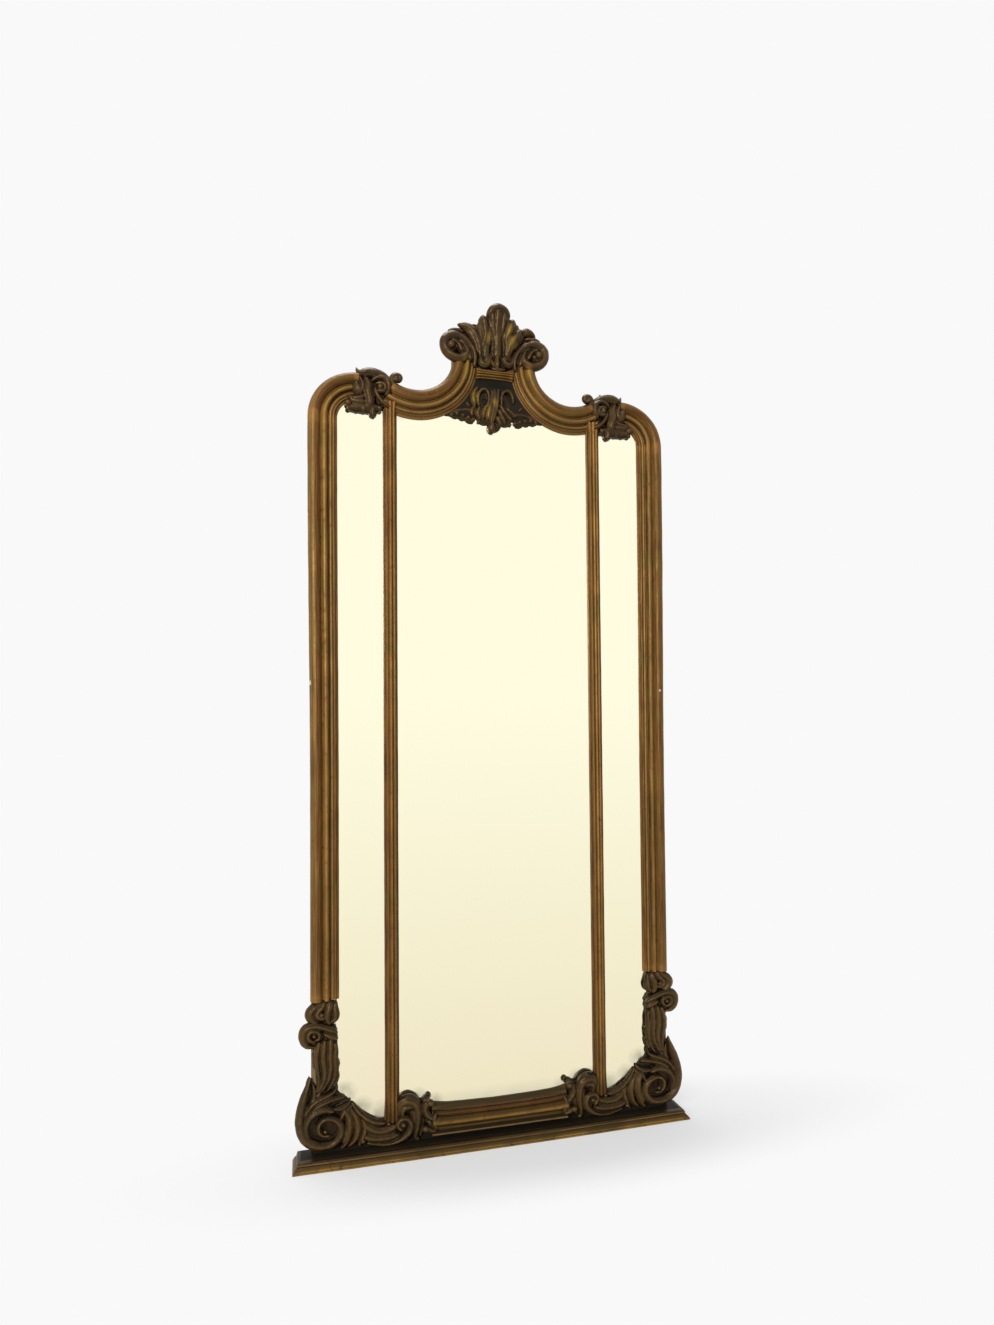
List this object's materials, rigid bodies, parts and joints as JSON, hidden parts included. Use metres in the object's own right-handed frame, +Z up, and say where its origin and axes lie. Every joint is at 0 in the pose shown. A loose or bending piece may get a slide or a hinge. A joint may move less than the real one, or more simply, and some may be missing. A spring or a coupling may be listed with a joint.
{
  "type": "trumeau mirror",
  "caption": "Tall standing pier mirror: scrolled arched crest, three panes between reeded mullions, carved gilded frame on a stepped plinth, folding hanger rings behind.",
  "frame": {"origin": "middle of the plinth's underside", "axes": "+Z up, -Y out of the mirror's face towards the viewer, +X to the viewer's right"},
  "size_m": [0.9122, 0.0767, 1.8999],
  "materials": {
    "gilding": "aged gilding over red bole, brown toned",
    "carved_gilding": "bronze-brown patina over carved gilding",
    "dark_wood": "stained near black",
    "pine": "old bare pine",
    "mirror_glass": "old silvered plate",
    "steel": "dull zinc plate"
  },
  "bodies": {
    "frame": {"back_stile_left": "pine", "back_stile_right": "pine", "backboard_centre_left": "pine", "backboard_centre_right": "pine", "backboard_left": "pine", "backboard_right": "pine", "base_scroll_left": "carved_gilding", "base_scroll_right": "carved_gilding", "batten_lower": "pine", "batten_screws": "steel", "batten_upper": "pine", "bottom_moulding": "gilding", "bottom_rail": "pine", "console_leaf_left": "carved_gilding", "console_leaf_right": "carved_gilding", "corner_volute_left": "carved_gilding", "corner_volute_right": "carved_gilding", "crest_bar": "gilding", "crest_palmette": "carved_gilding", "crest_scroll_left": "carved_gilding", "crest_scroll_right": "carved_gilding", "fringe_left": "carved_gilding", "fringe_right": "carved_gilding", "glass_centre": "mirror_glass", "glass_left": "mirror_glass", "glass_right": "mirror_glass", "hanger_plate_left": "steel", "hanger_plate_right": "steel", "hanger_screws": "steel", "head_board": "pine", "mullion_left": "gilding", "mullion_right": "gilding", "pendant_palmette": "carved_gilding", "plinth_board": "dark_wood", "plinth_moulding_front": "gilding", "plinth_moulding_left": "gilding", "plinth_moulding_right": "gilding", "rail_scroll_left": "carved_gilding", "rail_scroll_right": "carved_gilding", "scroll_moulding_left": "gilding", "scroll_moulding_right": "gilding", "shoulder_moulding_left": "gilding", "shoulder_moulding_right": "gilding", "shoulder_rosette_left": "carved_gilding", "shoulder_rosette_right": "carved_gilding", "stile_knop_left": "carved_gilding", "stile_knop_right": "carved_gilding", "stile_moulding_left": "gilding", "stile_moulding_right": "gilding", "tympanum_panel": "dark_wood"},
    "ring_left": {"hanger_ring_left": "steel"},
    "ring_right": {"hanger_ring_right": "steel"}
  },
  "joints": [
    {"name": "ring_left_swing", "type": "hinge", "parent": "frame", "child": "ring_left", "pos_m": [-0.392, 0.0341, 1.45], "axis": [1, 0, 0], "range_deg": [0, 180]},
    {"name": "ring_right_swing", "type": "hinge", "parent": "frame", "child": "ring_right", "pos_m": [0.392, 0.0341, 1.45], "axis": [1, 0, 0], "range_deg": [0, 180]}
  ]
}
